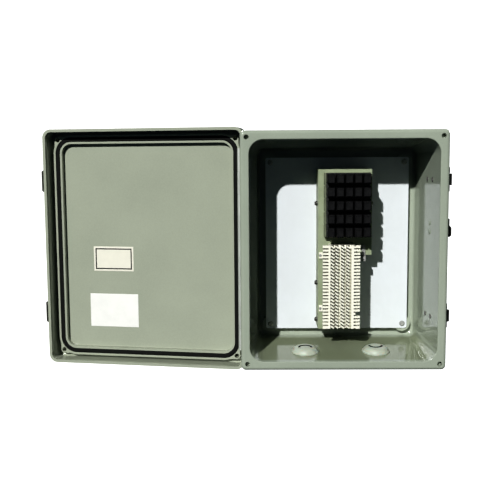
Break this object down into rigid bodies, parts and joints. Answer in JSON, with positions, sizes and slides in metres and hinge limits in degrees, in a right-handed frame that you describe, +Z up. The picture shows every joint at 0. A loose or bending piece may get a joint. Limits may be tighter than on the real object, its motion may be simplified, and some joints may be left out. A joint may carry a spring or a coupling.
{
  "type": "wall-mounted telephone terminal cabinet",
  "caption": "Shallow moulded wall cabinet with a side-hinged door, holding plug-in line protectors and a clip terminal block on a chassis.",
  "frame": {"origin": "on the wall plane, midway between the four foot holes", "axes": "+X to the viewer's right, +Y into the wall, +Z up"},
  "size_m": [0.6232, 0.138, 0.363],
  "materials": {
    "shell": "grey-green moulded polyester, satin",
    "seal": "black foam rubber",
    "panel": "white enamel",
    "chassis": "dull plated sheet steel",
    "steel": "zinc plated",
    "hinge": "stainless, satin",
    "socket": "olive green moulding",
    "protector": "black moulding, satin",
    "block": "cream moulding",
    "clip": "cream moulding over spring contacts",
    "lug": "plated",
    "bushing": "off-white soft plastic",
    "latch": "black moulding",
    "keeper": "black moulding"
  },
  "bodies": {
    "cabinet": {"base_box": "shell", "back_panel": "panel", "chassis_base": "chassis", "chassis_cover": "chassis", "mounting_feet": "steel", "foot_screws": "steel", "panel_screws": "steel", "chassis_base_screws": "steel", "chassis_side_screws": "steel", "terminal_screws": "steel", "hinge_base_rivets": "steel", "latch_rivets": "steel", "latch_pins": "steel", "hinge_base_leaf": "hinge", "hinge_pin": "hinge", "socket_block": "socket", "protector_row1_col1": "protector", "protector_row1_col2": "protector", "protector_row1_col3": "protector", "protector_row1_col4": "protector", "protector_row1_col5": "protector", "protector_row2_col1": "protector", "protector_row2_col2": "protector", "protector_row2_col3": "protector", "protector_row2_col4": "protector", "protector_row2_col5": "protector", "protector_row3_col1": "protector", "protector_row3_col2": "protector", "protector_row3_col3": "protector", "protector_row3_col4": "protector", "protector_row3_col5": "protector", "protector_row4_col1": "protector", "protector_row4_col2": "protector", "protector_row4_col3": "protector", "protector_row4_col4": "protector", "protector_row4_col5": "protector", "protector_row5_col1": "protector", "protector_row5_col2": "protector", "protector_row5_col3": "protector", "protector_row5_col4": "protector", "protector_row5_col5": "protector", "terminal_block": "block", "terminal_clips": "clip", "ground_lug": "lug", "left_cable_bushing": "bushing", "right_cable_bushing": "bushing", "upper_latch_bracket": "latch", "lower_latch_bracket": "latch", "padlock_eye": "latch"},
    "door": {"door_cover": "shell", "door_gasket": "seal", "hinge_door_leaf": "hinge", "hinge_door_rivets": "steel", "upper_latch_keeper": "keeper", "lower_latch_keeper": "keeper", "keeper_rivets": "steel"},
    "upper_latch": {"upper_latch_lever": "latch"},
    "lower_latch": {"lower_latch_lever": "latch"}
  },
  "joints": [
    {"name": "door_hinge", "type": "hinge", "parent": "cabinet", "child": "door", "pos_m": [-0.1515, -0.113, 0], "axis": [0, 0, 1], "range_deg": [-3, 189.5]},
    {"name": "upper_latch_pivot", "type": "hinge", "parent": "cabinet", "child": "upper_latch", "pos_m": [0.1578, -0.092, 0.1025], "axis": [0, 0, -1], "range_deg": [0, 180]},
    {"name": "lower_latch_pivot", "type": "hinge", "parent": "cabinet", "child": "lower_latch", "pos_m": [0.1578, -0.092, -0.1025], "axis": [0, 0, -1], "range_deg": [0, 180]}
  ]
}
